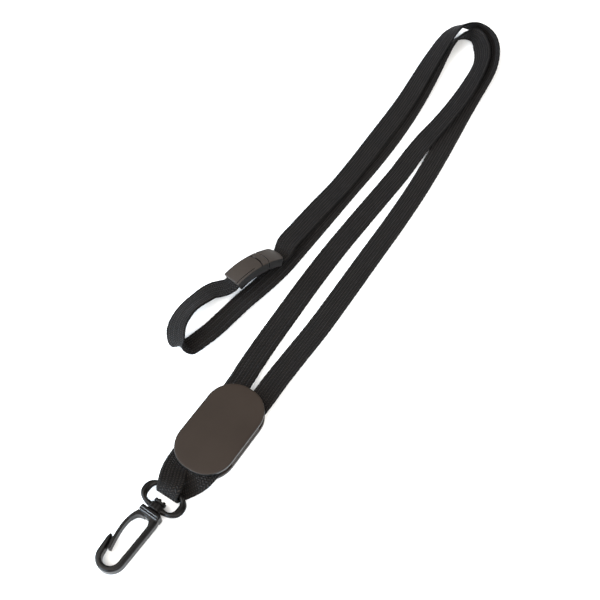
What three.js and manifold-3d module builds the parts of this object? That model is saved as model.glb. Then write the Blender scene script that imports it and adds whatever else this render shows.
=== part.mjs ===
// Neck lanyard in millimetres, +Z up, lying on its back on a table at z = 0.
// The origin is the centre of the name plate's flat back face. +Y runs along the lanyard, away from the hook.
// One flat braided strap runs from the clasp socket round the neck, through the left channel of the plate,
// round the bar of the swivel ring, back through the right channel and on to the clasp plug.
import * as THREE from 'three';
import { mergeVertices } from 'three/addons/utils/BufferGeometryUtils.js';
import Module from 'manifold-3d';

const wasm = await Module();
wasm.setup();

// ---------- driving dimensions ----------
const GAP = 0.3;                 // space left between touching pieces
const STRAP = { width: 10, thick: 1.4, edge: 0.45, mid: 3.0, lie: 0.75 };
const TABLE_GAP = 0.05;          // least height of the strap over the table
const NECKED = 9.0;              // strap width where a clasp half squeezes it
const PLATE = { width: 25, length: 42, corner: 11.5, back: 1.9, front: 1.8, height: 5.9, bevel: 0.4 };
const CHANNEL_X = 5.9;           // strap channels lie at plus and minus this
const DIVIDER = 1.1;             // width of the rail between the channels
const DIVIDER_REACH = 15;        // and how far it runs from the middle
const RAIL = { inner: 11.25, outer: 12.3, reach: 9.3 };
const LUG = { at: 8, length: 3.4, drop: 1.7 };

const SWIVEL = { x: -1.2, y: -35.3, z: 3.05, yaw: -2, pitch: 0.8 };
const RING = { a: 9.8, b: 5.6, power: 2.4, shift: 0.3, thick: 2.5, innerA: 6.6, innerB: 3.3, corner: 2.4, bevel: 0.75 };
const BAR_V = RING.shift + (RING.b + RING.innerB) / 2;     // far bar's centre line
const HUB = { radius: 2.9, bore: 2.1, top: -2.7, foot: -5.6 };
const POST = { radius: 1.8, crown: 2.6, crownFoot: -2.4, crownTop: -0.8, teeth: 6, tooth: 0.9 };
const COLLAR = { width: 9.2, top: -5.9, foot: -8.5, ribs: [-6.7, -7.7] };
const HOOK = {
  thick: 5, right: 4.85, inner: 2.45, bend: -27.95, middle: -1.05, outerR: 5.9, innerR: 3.5,
  nose: [[-7.4, -22.9], [-7.15, -21.5], [-6.5, -20.9], [-5.85, -22.2]],
};
const GATE = { thick: 1.15, depth: 3.4, root: [-4.0, -8.95] };

const CLASP = { x: -33.6, y: 73, z: 6.75, heading: 17.9, pitch: -5.4, roll: 15, width: 10.8, bevel: 0.4 };
const ARC = { bottom: 32, lid: 32.8, strap: 33.85, roof: 34.9, top: 36 };   // radii of the arched clasp's layers
const SOCKET = { left: -21.6, channelEnd: -8, bulge: 11, front: 5.6 };
const PLUG = { right: 13.4, channelStart: 11 };
const POCKET = { half: 3.9, from: -3.6, low: -1.2, high: 0.9 };
const PRONG = { inner: 1.2, outer: 3.6, from: -3.2, low: -0.9, high: 0.6, chamfer: 0.7 };
const LID_WIDTH = 9.0;

const rad = THREE.MathUtils.degToRad;

// ---------- materials ----------
const shell = (r, g, b, roughness) =>
  new THREE.MeshStandardMaterial({ color: new THREE.Color(r, g, b), roughness, metalness: 0 });
const BRAID = shell(0.022, 0.021, 0.02, 0.85);
const SATIN = shell(0.058, 0.048, 0.041, 0.42);
const HOOK_BLACK = shell(0.03, 0.029, 0.028, 0.35);
const GATE_BLACK = shell(0.034, 0.032, 0.03, 0.4);

// ---------- solids ----------
function toManifold(geometry) {
  const bare = geometry.clone();
  bare.deleteAttribute('normal');
  bare.deleteAttribute('uv');
  const merged = mergeVertices(bare, 1e-4);
  const vertProperties = new Float32Array(merged.attributes.position.array);
  const triVerts = new Uint32Array(merged.index.array);
  return new wasm.Manifold(new wasm.Mesh({ numProp: 3, vertProperties, triVerts }));
}

function toGeometry(solid) {
  const mesh = solid.getMesh();
  const geometry = new THREE.BufferGeometry();
  geometry.setAttribute('position', new THREE.BufferAttribute(new Float32Array(mesh.vertProperties), 3));
  geometry.setIndex(new THREE.BufferAttribute(new Uint32Array(mesh.triVerts), 1));
  geometry.computeVertexNormals();
  return geometry;
}

function box(low, high) {
  const size = high.map((value, i) => value - low[i]);
  const middle = high.map((value, i) => (value + low[i]) / 2);
  return toManifold(new THREE.BoxGeometry(...size).translate(...middle));
}

// A closed outline's points, without the doubled ones where a line meets an arc.
function cleanPoints(path, divisions) {
  const points = path.getPoints(divisions);
  return points.filter((point, i) => point.distanceTo(points[(i + 1) % points.length]) > 0.02);
}

// A flat outline with rounded edges, from z = low to z = high.
function slab(path, low, high, bevel, divisions = 12, bevelSegments = 2) {
  const shape = new THREE.Shape(cleanPoints(path, divisions));
  shape.holes = (path.holes ?? []).map((hole) => new THREE.Path(cleanPoints(hole, divisions)));
  const options = bevel > 0
    ? { bevelEnabled: true, bevelThickness: bevel, bevelSize: bevel, bevelOffset: -bevel, bevelSegments }
    : { bevelEnabled: false };
  const depth = high - low - 2 * bevel;
  return new THREE.ExtrudeGeometry(shape, { depth, ...options }).translate(0, 0, low + bevel);
}

function roundedRect(halfX, halfY, r, target = new THREE.Shape()) {
  target.moveTo(halfX, -halfY + r);
  target.lineTo(halfX, halfY - r);
  target.absarc(halfX - r, halfY - r, r, 0, Math.PI / 2, false);
  target.absarc(-halfX + r, halfY - r, r, Math.PI / 2, Math.PI, false);
  target.absarc(-halfX + r, -halfY + r, r, Math.PI, Math.PI * 1.5, false);
  target.absarc(halfX - r, -halfY + r, r, Math.PI * 1.5, Math.PI * 2, false);
  return target;
}

// A round bar along Y.
function barY(radius, from, to, segments = 20) {
  const bar = new THREE.CylinderGeometry(radius, radius, to - from, segments);
  return toManifold(bar.translate(0, (to + from) / 2, 0));
}

function add(group, name, geometry, material) {
  const mesh = new THREE.Mesh(geometry, material);
  mesh.name = name;
  group.add(mesh);
}

// ---------- the strap ----------
// Each row is a point of the strap's middle line and the direction across it, chosen by hand.
const clasp = new THREE.Group();
clasp.rotation.set(rad(CLASP.pitch), rad(-CLASP.roll), rad(-CLASP.heading), 'ZXY');
clasp.position.set(CLASP.x, CLASP.y, CLASP.z);
clasp.updateMatrixWorld();

// The strap's row inside the arched clasp, at an angle from the clasp's middle.
function claspRow(degrees) {
  const across = new THREE.Vector3(1, 0, 0).transformDirection(clasp.matrixWorld);
  const r = ARC.strap;
  const point = new THREE.Vector3(0, r * Math.sin(rad(degrees)), r * Math.cos(rad(degrees)) - r);
  point.applyMatrix4(clasp.matrixWorld);
  return [...point.toArray(), ...across.toArray()];
}

const FLAT = [1, 0, 0];
const lie = STRAP.lie;
const CLASP_LOOP = [
  claspRow(-9), claspRow(-14), claspRow(-19), claspRow(-25),
  [-42.9, 53, 3.5, 0.94, -0.1, 0.2], [-44.3, 46.3, 4.6, 0.95, 0.1, 0.27],
  [-44.9, 40, 5.8, 0.92, 0.15, 0.38], [-44.3, 34, 6.7, 0.9, 0.12, 0.42], [-42.9, 28.6, 6.8, 0.9, 0.08, 0.42],
  [-41.3, 25.6, 6.1, 0.93, 0.02, 0.38], [-39.4, 23.5, 4.7, 0.95, 0, 0.33], [-37.2, 22.8, 3.1, 0.97, -0.08, 0.25],
  [-35.2, 24.0, 2.1, 0.98, -0.08, 0.2], [-33.9, 27.2, 1.8, 0.98, 0, 0.19], [-32.8, 31.5, 1.8, 0.98, 0, 0.19],
];
const NECK_INNER = [
  [-32.7, 31.8, 1.8, 0.98, 0, 0.19], [-31.6, 36.4, 1.8, 0.98, 0, 0.19], [-30.3, 46, 1.8, 0.98, 0, 0.18],
  [-29.1, 56, 1.7, 0.98, 0, 0.17], [-27.1, 68, 1.5, 0.99, 0, 0.14], [-25.9, 80, 1.1, 1, 0, 0.06],
  [-25.6, 96, lie, ...FLAT], [-25.2, 116, lie, ...FLAT], [-24.9, 136, lie, ...FLAT], [-24.4, 156, lie, ...FLAT],
  [-24.6, 176, lie, ...FLAT], [-25.8, 196, lie, ...FLAT], [-27.4, 214, 1.5, 0.98, 0, 0.15],
  [-29.2, 230, 2.4, 0.93, 0, 0.35], [-31.1, 244, 3.1, 0.85, 0, 0.5], [-31.5, 254.5, 3.7, 0.7, -0.2, 0.68],
  [-30.2, 261.2, 4.2, 0.5, -0.4, 0.77], [-27.8, 265.4, 4.5, 0.3, -0.4, 0.85], [-24.6, 267.2, 4.7, 0.3, -0.15, 0.9],
  [-20.8, 266.3, 4.8, 0.44, 0.07, 0.83], [-17.0, 262.7, 4.8, 0.6, 0.15, 0.78], [-13.7, 258.2, 4.6, 0.72, 0.2, 0.7],
  [-11.3, 253, 4.3, 0.8, 0.12, 0.66], [-9.8, 246.6, 3.9, 0.82, 0, 0.56], [-8.7, 238, 3.5, 0.88, 0, 0.46],
  [-7.9, 227, 3.1, 0.93, 0, 0.36], [-7.6, 214, 2.9, 0.95, 0, 0.3], [-8.0, 201, 2.7, 0.96, 0, 0.25],
  [-9.0, 188, 2.1, 0.98, 0, 0.15], [-9.4, 175, 1.2, 1, 0, 0.05], [-9.2, 160, lie, ...FLAT], [-9.6, 144, lie, ...FLAT],
  [-10.2, 124, lie, ...FLAT], [-10.6, 102, lie, ...FLAT], [-10.3, 82, lie, ...FLAT], [-9.5, 62, lie, ...FLAT],
  [-8.6, 44, 1, ...FLAT], [-7.4, 31, 1.9, ...FLAT], [-6.2, 22, 2.9, ...FLAT], [-CHANNEL_X, 14, STRAP.mid, ...FLAT],
  [-CHANNEL_X, GAP / 2, STRAP.mid, ...FLAT],
];
const NECK_OUTER = [
  [CHANNEL_X, GAP / 2, STRAP.mid, ...FLAT], [CHANNEL_X, 14, STRAP.mid, ...FLAT], [5.9, 22, 2.9, ...FLAT],
  [5.4, 31, 1.9, ...FLAT], [5.3, 44, 1, ...FLAT], [5.7, 62, lie, ...FLAT], [5.4, 84, lie, ...FLAT],
  [4.8, 108, lie, ...FLAT], [4.3, 132, lie, ...FLAT], [3.2, 155, lie, ...FLAT], [1.2, 178, lie, ...FLAT],
  [-0.8, 196, lie, ...FLAT], [-2.8, 213, 0.8, 1, 0, 0.02], [-4.0, 227, 1.3, 0.99, 0, 0.12],
  [-4.4, 238, 2.2, 0.94, 0.08, 0.32], [-4.9, 247, 3.2, 0.84, 0.15, 0.5], [-6.6, 255, 4.1, 0.68, 0.25, 0.68],
  [-9.6, 262.3, 4.7, 0.48, 0.3, 0.8], [-13.6, 268, 5.0, 0.28, 0.25, 0.92], [-18.4, 271.4, 5.3, 0.1, 0.1, 0.97],
  [-23.6, 272.6, 5.9, 0.05, -0.15, 0.96], [-28.4, 271.4, 6.9, 0.2, -0.5, 0.8], [-32.0, 267.8, 7.5, 0.5, -0.55, 0.62],
  [-33.9, 261.8, 7.2, 0.76, -0.35, 0.5], [-34.3, 254.5, 6.4, 0.88, -0.12, 0.42], [-34.0, 246, 5.5, 0.92, 0.05, 0.36],
  [-33.2, 235, 4.8, 0.94, 0.08, 0.28], [-31.9, 222, 4.0, 0.97, 0, 0.2], [-30.5, 208, 3.2, 0.99, 0, 0.1],
  [-29.6, 192, 2.7, 1, 0, 0.04], [-29.0, 174, 2.6, 1, 0, 0.03], [-28.3, 154, 2.6, 1, 0, 0.03],
  [-28.2, 136, 2.6, 1, 0, 0.03], [-29.3, 118, 2.7, 1, 0, 0.03], [-29.8, 104, 3.0, 1, 0, 0.04],
  [-29.9, 94, 3.6, 0.99, -0.12, 0.08], claspRow(23), claspRow(17.5), claspRow(12),
];
const BAR_Y = SWIVEL.y + BAR_V;
const BAR_X = SWIVEL.x + 0.15;
const BAR_Z = SWIVEL.z + BAR_V * Math.sin(rad(SWIVEL.pitch));
const WRAP = 2.45;               // from the bar's centre to the strap's middle
const HOOK_LOOP = [
  [-CHANNEL_X, -GAP / 2, STRAP.mid, ...FLAT], [-CHANNEL_X, -15, STRAP.mid, ...FLAT], [-5.5, -21, 3.1, ...FLAT],
  [-4.4, -24.4, 3.9, ...FLAT], [-2.7, -27.6, 5.2, ...FLAT],
  ...[80, 54, 27, 0, -27, -54, -80].map((degrees) => [
    BAR_X - 0.3 * Math.sin(rad(degrees)), BAR_Y - WRAP * Math.cos(rad(degrees)),
    BAR_Z + WRAP * Math.sin(rad(degrees)), ...FLAT,
  ]),
  [1.2, -27.2, lie + 0.2, ...FLAT], [3.2, -24.2, 1.8, ...FLAT], [5.2, -21, 2.9, ...FLAT],
  [CHANNEL_X, -15, STRAP.mid, ...FLAT], [CHANNEL_X, -GAP / 2, STRAP.mid, ...FLAT],
];
const WRAP_WIDTH = 9.7;          // strap width round the bar, between the ring's ends
const WRAP_WIDTHS = Object.fromEntries([5, 6, 7, 8, 9, 10, 11].map((row) => [row, WRAP_WIDTH]));

// The section is a flat bar with softened edges. It is extruded straight, one step for each row of the route,
// and then each ring of its points is moved to its row.
function strapSection() {
  const half = STRAP.width / 2;
  const flat = STRAP.thick / 2;
  const soft = STRAP.edge;
  const corners = [
    [half, -flat + soft], [half, flat - soft], [half - soft * 1.4, flat], [-half + soft * 1.4, flat],
    [-half, flat - soft], [-half, -flat + soft], [-half + soft * 1.4, -flat], [half - soft * 1.4, -flat],
  ];
  return new THREE.Shape(corners.map(([x, y]) => new THREE.Vector2(x, y)));
}

function strapGeometry(rows, widths = {}) {
  const points = rows.map((row) => new THREE.Vector3(row[0], row[1], row[2]));
  const steps = rows.length - 1;
  const geometry = new THREE.ExtrudeGeometry(strapSection(), { depth: 1, steps, bevelEnabled: false });
  const frames = rows.map((row, i) => {
    const before = points[Math.max(i - 1, 0)];
    const after = points[Math.min(i + 1, steps)];
    const along = after.clone().sub(before).normalize();
    const across = new THREE.Vector3(row[3], row[4], row[5]);
    across.addScaledVector(along, -across.dot(along)).normalize();
    return { across, face: new THREE.Vector3().crossVectors(along, across) };
  });
  const position = geometry.attributes.position;
  for (let i = 0; i < position.count; i += 1) {
    const step = Math.round(position.getZ(i) * steps);
    const scale = (widths[step] ?? STRAP.width) / STRAP.width;
    const { across, face } = frames[step];
    const lowest = Math.abs(across.z) * STRAP.width * scale / 2 + Math.abs(face.z) * STRAP.thick / 2;
    const moved = points[step].clone();
    moved.z = Math.max(moved.z, lowest + TABLE_GAP);
    moved.addScaledVector(across, position.getX(i) * scale);
    moved.addScaledVector(face, position.getY(i));
    position.setXYZ(i, moved.x, moved.y, moved.z);
  }
  return geometry;
}

// ---------- the plate ----------
function plateOutline(inset) {
  return roundedRect(PLATE.width / 2 - inset, PLATE.length / 2 - inset, PLATE.corner - inset);
}

function plateBack() {
  const top = PLATE.height - PLATE.front - GAP;
  let solid = toManifold(slab(plateOutline(0), 0, PLATE.back, PLATE.bevel, 14));
  const sink = PLATE.back - 0.5;
  solid = solid.add(box([-DIVIDER / 2, -DIVIDER_REACH, sink], [DIVIDER / 2, DIVIDER_REACH, top]));
  for (const side of [-1, 1]) {
    const near = Math.min(side * RAIL.inner, side * RAIL.outer);
    const far = Math.max(side * RAIL.inner, side * RAIL.outer);
    solid = solid.add(box([near, -RAIL.reach, sink], [far, RAIL.reach, top]));
    for (const end of [-1, 1]) {
      const middle = end * (LUG.at - LUG.length / 2 + 0.2);
      const half = LUG.length / 2 + GAP;
      solid = solid.subtract(box([near - 0.2, middle - half, top - LUG.drop - GAP], [far + 0.4, middle + half, top + 1]));
    }
  }
  return toGeometry(solid);
}

function plateFront() {
  const low = PLATE.height - PLATE.front;
  let solid = toManifold(slab(plateOutline(0), low, PLATE.height, PLATE.bevel, 14));
  for (const side of [-1, 1]) {
    const near = Math.min(side * (RAIL.inner + 0.05), side * (RAIL.outer - 0.3));
    const far = Math.max(side * (RAIL.inner + 0.05), side * (RAIL.outer - 0.3));
    for (const end of [-1, 1]) {
      const middle = end * (LUG.at - LUG.length / 2 + 0.2);
      const lug = box([near, middle - LUG.length / 2, low - LUG.drop], [far, middle + LUG.length / 2, low + 0.6]);
      solid = solid.add(lug);
    }
  }
  return toGeometry(solid);
}

// ---------- the swivel ring and the hook ----------
// Both are drawn on the swivel's axis, with the ring's middle at their origin and the hook towards -Y.
function superellipse(a, b, power, shift, count = 44) {
  const points = [];
  for (let i = 0; i < count; i += 1) {
    const angle = (i / count) * Math.PI * 2;
    const c = Math.cos(angle);
    const s = Math.sin(angle);
    const x = a * Math.sign(c) * Math.abs(c) ** (2 / power);
    const y = b * Math.sign(s) * Math.abs(s) ** (2 / power);
    points.push(new THREE.Vector2(x, y + shift));
  }
  return new THREE.Shape(points);
}

function swivelRing() {
  const outline = superellipse(RING.a, RING.b, RING.power, RING.shift);
  const hole = roundedRect(RING.innerA, RING.innerB, RING.corner, new THREE.Path());
  const moved = hole.getPoints(6).map((p) => new THREE.Vector2(p.x, p.y + RING.shift));
  outline.holes.push(new THREE.Path(moved));
  let solid = toManifold(slab(outline, -RING.thick / 2, RING.thick / 2, RING.bevel, 1, 3));
  solid = solid.add(barY(HUB.radius, HUB.foot, HUB.top, 28));
  solid = solid.subtract(barY(HUB.bore, HUB.foot - 1, HUB.top + 1, 24));
  return toGeometry(solid);
}

function hookOutline() {
  const { right, inner, bend, middle, outerR, innerR } = HOOK;
  const shape = new THREE.Shape();
  shape.moveTo(COLLAR.width / 2 - 0.2, COLLAR.foot + 0.6);
  shape.quadraticCurveTo(right, COLLAR.foot, right, COLLAR.foot - 2);
  shape.lineTo(right, bend);
  shape.absarc(middle, bend, outerR, 0, -Math.PI, true);
  for (const [x, y] of HOOK.nose) {
    shape.lineTo(x, y);
  }
  shape.absarc(middle, bend, innerR, Math.PI, Math.PI * 2, false);
  shape.lineTo(inner, -12.6);
  shape.quadraticCurveTo(inner - 0.2, -9.9, 0.2, -9.5);
  shape.quadraticCurveTo(-2.2, -9.3, -2.9, COLLAR.foot);
  shape.lineTo(-2.9, COLLAR.foot + 0.6);
  shape.closePath();
  return shape;
}

function hookBody() {
  const half = HOOK.thick / 2;
  let solid = toManifold(slab(hookOutline(), -half, half, 0, 10));
  const collarShape = roundedRect(COLLAR.width / 2, (COLLAR.top - COLLAR.foot) / 2, 0.5);
  const collar = slab(collarShape, -half, half, 0, 4).translate(0, (COLLAR.top + COLLAR.foot) / 2, 0);
  solid = solid.add(toManifold(collar));
  const ribHalf = 0.25;
  const ribProud = 0.18;
  for (const at of COLLAR.ribs) {
    const reach = COLLAR.width / 2 - 0.5;
    solid = solid.add(box([-reach, at - ribHalf, -half - ribProud], [reach, at + ribHalf, half + ribProud]));
  }
  solid = solid.add(barY(POST.radius, COLLAR.top - 0.8, POST.crownFoot + 0.3, 20));
  solid = solid.add(barY(POST.crown, POST.crownFoot, POST.crownTop, 24));
  for (let i = 0; i < POST.teeth / 2; i += 1) {
    const cut = new THREE.BoxGeometry(POST.crown * 3, POST.tooth, 0.7).rotateY((i / (POST.teeth / 2)) * Math.PI);
    solid = solid.subtract(toManifold(cut.translate(0, POST.crownTop, 0)));
  }
  return toGeometry(solid);
}

// The gate is a thin leaf from the collar to the inside of the nose.
function hookGate() {
  const middle = new THREE.CatmullRomCurve3([
    [-4.05, -8.85], [-4.95, -10.8], [-5.5, -13.5], [-5.6, -16.5], [-5.25, -19.8], [-4.65, -23], [-3.8, -26.2],
  ].map(([x, y]) => new THREE.Vector3(x, y, 0)));
  const count = 14;
  const sides = { left: [], right: [] };
  for (let i = 0; i <= count; i += 1) {
    const at = middle.getPoint(i / count);
    const along = middle.getTangent(i / count);
    const half = GATE.thick / 2;
    sides.left.push(new THREE.Vector2(at.x + along.y * half, at.y - along.x * half));
    sides.right.push(new THREE.Vector2(at.x - along.y * half, at.y + along.x * half));
  }
  const outline = new THREE.Shape([...sides.left, ...sides.right.reverse()]);
  return slab(outline, -GATE.depth / 2, GATE.depth / 2, 0);
}

// ---------- the clasp ----------
// Both halves are arched, bent about an axis under the clasp that runs across it, and drawn in the clasp's own
// frame: X across, Y along from the small loop's end to the neck's end, Z up, with the strap's middle at z = 0.
function arcBand(r0, r1, from, to, width, bevel = 0, segments = 16) {
  const shape = new THREE.Shape();
  shape.absarc(0, 0, r1, Math.PI / 2 - rad(from), Math.PI / 2 - rad(to), true);
  shape.absarc(0, 0, r0, Math.PI / 2 - rad(to), Math.PI / 2 - rad(from), false);
  shape.closePath();
  const solid = slab(shape, -width / 2, width / 2, bevel, segments);
  const turn = new THREE.Matrix4().makeBasis(
    new THREE.Vector3(0, 1, 0), new THREE.Vector3(0, 0, 1), new THREE.Vector3(1, 0, 0),
  );
  return toManifold(solid.applyMatrix4(turn).translate(0, 0, -ARC.strap));
}

function upright(radius, y) {
  const post = new THREE.CylinderGeometry(radius, radius, 40, 96).rotateX(Math.PI / 2);
  return toManifold(post.translate(0, y, 0));
}

function claspSocket() {
  const block = arcBand(ARC.bottom, ARC.top, SOCKET.left, 14, CLASP.width, CLASP.bevel, 20);
  let solid = block.intersect(upright(SOCKET.bulge, SOCKET.front - SOCKET.bulge).add(
    box([-9, -20, -9], [9, 0, 9]),
  ));
  solid = solid.subtract(arcBand(ARC.bottom - 1, ARC.roof, SOCKET.left - 4, SOCKET.channelEnd, NECKED + 2 * GAP, 0, 8));
  solid = solid.subtract(box([-POCKET.half, POCKET.from, POCKET.low], [POCKET.half, SOCKET.front + 2, POCKET.high]));
  return toGeometry(solid);
}

function claspPlug() {
  const block = arcBand(ARC.bottom, ARC.top, 0, 24, CLASP.width, CLASP.bevel, 14);
  let solid = block.subtract(upright(SOCKET.bulge + GAP, SOCKET.front - SOCKET.bulge));
  solid = solid.intersect(upright(SOCKET.bulge, PLUG.right - SOCKET.bulge));
  solid = solid.subtract(arcBand(ARC.bottom - 1, ARC.roof, PLUG.channelStart, 28, NECKED + 2 * GAP, 0, 8));
  for (const side of [-1, 1]) {
    const { inner, outer, from, low, high, chamfer } = PRONG;
    const shape = new THREE.Shape([
      new THREE.Vector2(side * inner, 6), new THREE.Vector2(side * inner, from),
      new THREE.Vector2(side * (outer - chamfer), from), new THREE.Vector2(side * outer, from + chamfer),
      new THREE.Vector2(side * outer, 6),
    ]);
    solid = solid.add(toManifold(slab(shape, low, high, 0)));
  }
  return toGeometry(solid);
}

function strapLid(from, to) {
  return toGeometry(arcBand(ARC.bottom + 0.05, ARC.lid, from, to, LID_WIDTH, 0.15, 8));
}

// ---------- the whole object ----------
const lanyard = new THREE.Group();
add(lanyard, 'plate_back', plateBack(), SATIN);
add(lanyard, 'plate_front', plateFront(), SATIN);
add(lanyard, 'strap_neck_inner', strapGeometry(NECK_INNER), BRAID);
add(lanyard, 'strap_neck_outer', strapGeometry(NECK_OUTER, {
  [NECK_OUTER.length - 3]: 9.3, [NECK_OUTER.length - 2]: NECKED, [NECK_OUTER.length - 1]: NECKED,
}), BRAID);
add(lanyard, 'strap_clasp_loop', strapGeometry(CLASP_LOOP, { 0: NECKED, 1: NECKED, 2: NECKED, 3: 9.3 }), BRAID);
add(lanyard, 'strap_hook_loop', strapGeometry(HOOK_LOOP, WRAP_WIDTHS), BRAID);

const swivel = new THREE.Group();
swivel.rotation.set(rad(SWIVEL.pitch), 0, rad(SWIVEL.yaw), 'ZXY');
swivel.position.set(SWIVEL.x, SWIVEL.y, SWIVEL.z);
add(swivel, 'swivel_ring', swivelRing(), HOOK_BLACK);
add(swivel, 'hook_body', hookBody(), HOOK_BLACK);
add(swivel, 'hook_gate', hookGate(), GATE_BLACK);
lanyard.add(swivel);

add(clasp, 'clasp_socket', claspSocket(), SATIN);
add(clasp, 'clasp_socket_lid', strapLid(SOCKET.left + 0.8, SOCKET.channelEnd - 0.6), SATIN);
add(clasp, 'clasp_plug', claspPlug(), SATIN);
add(clasp, 'clasp_plug_lid', strapLid(PLUG.channelStart + 0.6, 18), SATIN);
lanyard.add(clasp);

export default lanyard;
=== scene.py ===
"""Neck lanyard: a flat braided strap with a two-part label plate, a swivel hook and a pull-apart safety clasp.

The drawing below is in millimetres and is turned into metres as each mesh is made.
"""

import math

import bpy
import numpy as np
from mathutils import Matrix, Vector


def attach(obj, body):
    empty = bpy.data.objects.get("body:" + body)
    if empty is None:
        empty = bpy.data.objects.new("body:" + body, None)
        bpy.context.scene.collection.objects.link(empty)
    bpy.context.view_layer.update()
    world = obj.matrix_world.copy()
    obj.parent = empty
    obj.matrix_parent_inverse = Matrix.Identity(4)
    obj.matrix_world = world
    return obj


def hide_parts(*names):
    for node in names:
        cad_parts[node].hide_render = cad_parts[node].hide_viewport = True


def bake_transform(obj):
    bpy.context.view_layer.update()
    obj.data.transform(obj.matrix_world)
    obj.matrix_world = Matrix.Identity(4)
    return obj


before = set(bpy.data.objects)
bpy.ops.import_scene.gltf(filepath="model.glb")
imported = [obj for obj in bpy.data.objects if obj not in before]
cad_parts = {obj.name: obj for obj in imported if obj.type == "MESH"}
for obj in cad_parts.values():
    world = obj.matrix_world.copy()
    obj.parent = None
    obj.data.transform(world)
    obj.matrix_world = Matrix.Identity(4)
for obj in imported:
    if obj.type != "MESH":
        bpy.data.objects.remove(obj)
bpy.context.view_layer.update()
MM = 0.001

# ---------------------------------------------------------------- sizes
CHANNEL_X = 5.9
STRAP = {"width": 10.0, "thick": 1.4, "mid": 3.0, "lie": 0.75, "ribs": 8, "rib_depth": 0.22}
TABLE_GAP = 0.05
STATION = 0.45            # spacing of the strap's cross-sections
NECKED = 9.0              # the strap's width inside the clasp
ENTRY = 9.3               # and where it goes in
HALF_GAP = 0.15           # from the plate's middle to the end of a strap in it
WRAP = 2.45               # from the ring's bar to the middle of the strap folded round it
WRAP_WIDTH = 9.7          # the strap's width in that fold
PLATE = {"width": 25.0, "length": 42.0, "corner": 11.5, "back": 1.9, "front": 1.8, "height": 5.9, "edge": 0.42}
RAIL = {"inner": 11.25, "outer": 12.3, "reach": 9.3, "low": 1.4, "high": 3.8}
DIVIDER = {"width": 1.1, "reach": 15.0}
SWIVEL = {"x": -1.2, "y": -35.3, "z": 3.05, "yaw": -2.0, "pitch": 0.8}
RING = {"a": 9.8, "b": 5.6, "power": 2.4, "shift": 0.3, "thick": 2.5, "inner_a": 6.6, "inner_b": 3.3,
        "corner": 2.4, "squareness": 0.9}
HUB = {"radius": 2.9, "bore": 2.1, "top": -2.7, "foot": -5.6}
POST = {"radius": 1.8, "crown": 2.6, "crown_foot": -2.4, "crown_top": -0.8, "teeth": 6, "notch": 0.62}
COLLAR = {"width": 9.2, "top": -5.9, "foot": -8.5, "ribs": (-7.25, -8.15)}
HOOK = {"thick": 5.0, "right": 4.85, "inner": 2.45, "bend": -27.95, "middle": -1.05, "outer_r": 5.9,
        "inner_r": 3.5, "step": 0.22}
NOSE = [(-7.4, -22.9), (-7.15, -21.5), (-6.5, -20.9), (-5.85, -22.2)]
GATE = {"thick": 1.15, "depth": 3.4, "root_extra": 0.35}
GATE_LINE = [(-4.05, -8.85), (-4.95, -10.8), (-5.5, -13.5), (-5.6, -16.5), (-5.25, -19.8), (-4.65, -23.0),
             (-3.8, -26.2)]
CLASP = {"x": -33.6, "y": 73.0, "z": 6.75, "heading": 17.9, "pitch": -5.4, "roll": 15.0, "width": 10.8}
ARC = {"bottom": 32.0, "strap": 33.85, "roof": 34.9, "top": 36.0}
SOCKET = {"left": -21.6, "channel_end": -8.0, "bulge": 11.0, "front": 5.6}
PLUG = {"right": 13.4, "channel_start": 11.0, "gap": 0.3}
POCKET = {"half": 3.9, "low": -1.2, "high": 0.9, "from": -3.6}
PRONG = {"inner": 1.2, "outer": 3.6, "from": -3.2, "to": 6.4, "low": -0.9, "high": 0.6}
ROUNDING = {"long": 0.42, "end": 0.34, "lead": 0.72}      # the clasp's softened edges
SLOT_REACH = 9.6          # the width of the clasp's strap slots
SEAM = {"at": 2.0, "half": 0.3, "depth": 0.36}            # the curved line across the socket
SIDE_LINE = {"x": 4.05, "until": -3.0, "half": 0.24, "depth": 0.22}
FLAT = (1.0, 0.0, 0.0)


def turned(place, x_degrees, y_degrees, z_degrees):
    """The frame of a tilted group: pitched and rolled first, then headed."""
    turn = Matrix.Rotation(math.radians(z_degrees), 4, "Z") @ Matrix.Rotation(math.radians(x_degrees), 4, "X")
    turn = turn @ Matrix.Rotation(math.radians(y_degrees), 4, "Y")
    return Matrix.Translation(Vector(place)) @ turn


SWIVEL_FRAME = turned((SWIVEL["x"], SWIVEL["y"], SWIVEL["z"]), SWIVEL["pitch"], 0, SWIVEL["yaw"])
CLASP_FRAME = turned((CLASP["x"], CLASP["y"], CLASP["z"]), CLASP["pitch"], -CLASP["roll"], -CLASP["heading"])

# ---------------------------------------------------------------- camera
target = Vector((-0.0091, 0.0721, 0.0))
camera = bpy.data.objects.new("camera", bpy.data.cameras.new("camera"))
bpy.context.collection.objects.link(camera)
camera.location = (0.1174, -0.1227, 0.3318)
camera.rotation_euler = (target - camera.location).to_track_quat("-Z", "Y").to_euler()
camera.data.lens = 55.2
camera.data.sensor_width = 36.0
camera.data.clip_start = 0.01
bpy.context.scene.camera = camera
bpy.context.scene.view_settings.view_transform = "Standard"


# ---------------------------------------------------------------- material helpers
def new_material(name):
    material = bpy.data.materials.new(name)
    material.use_nodes = True
    nodes = material.node_tree.nodes
    return material, nodes, material.node_tree.links, nodes["Principled BSDF"]


def math_node(nodes, links, kind, a, b=None):
    node = nodes.new("ShaderNodeMath")
    node.operation = kind
    for socket, value in zip(node.inputs, (a, b)):
        if value is None:
            continue
        if isinstance(value, (int, float)):
            socket.default_value = value
        else:
            links.new(value, socket)
    return node.outputs[0]


def ramp(nodes, links, factor, stops):
    node = nodes.new("ShaderNodeValToRGB")
    elements = node.color_ramp.elements
    while len(elements) < len(stops):
        elements.new(0.5)
    for element, (position, color) in zip(elements, stops):
        element.position = position
        element.color = (*color, 1.0)
    links.new(factor, node.inputs[0])
    return node.outputs[0]


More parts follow.
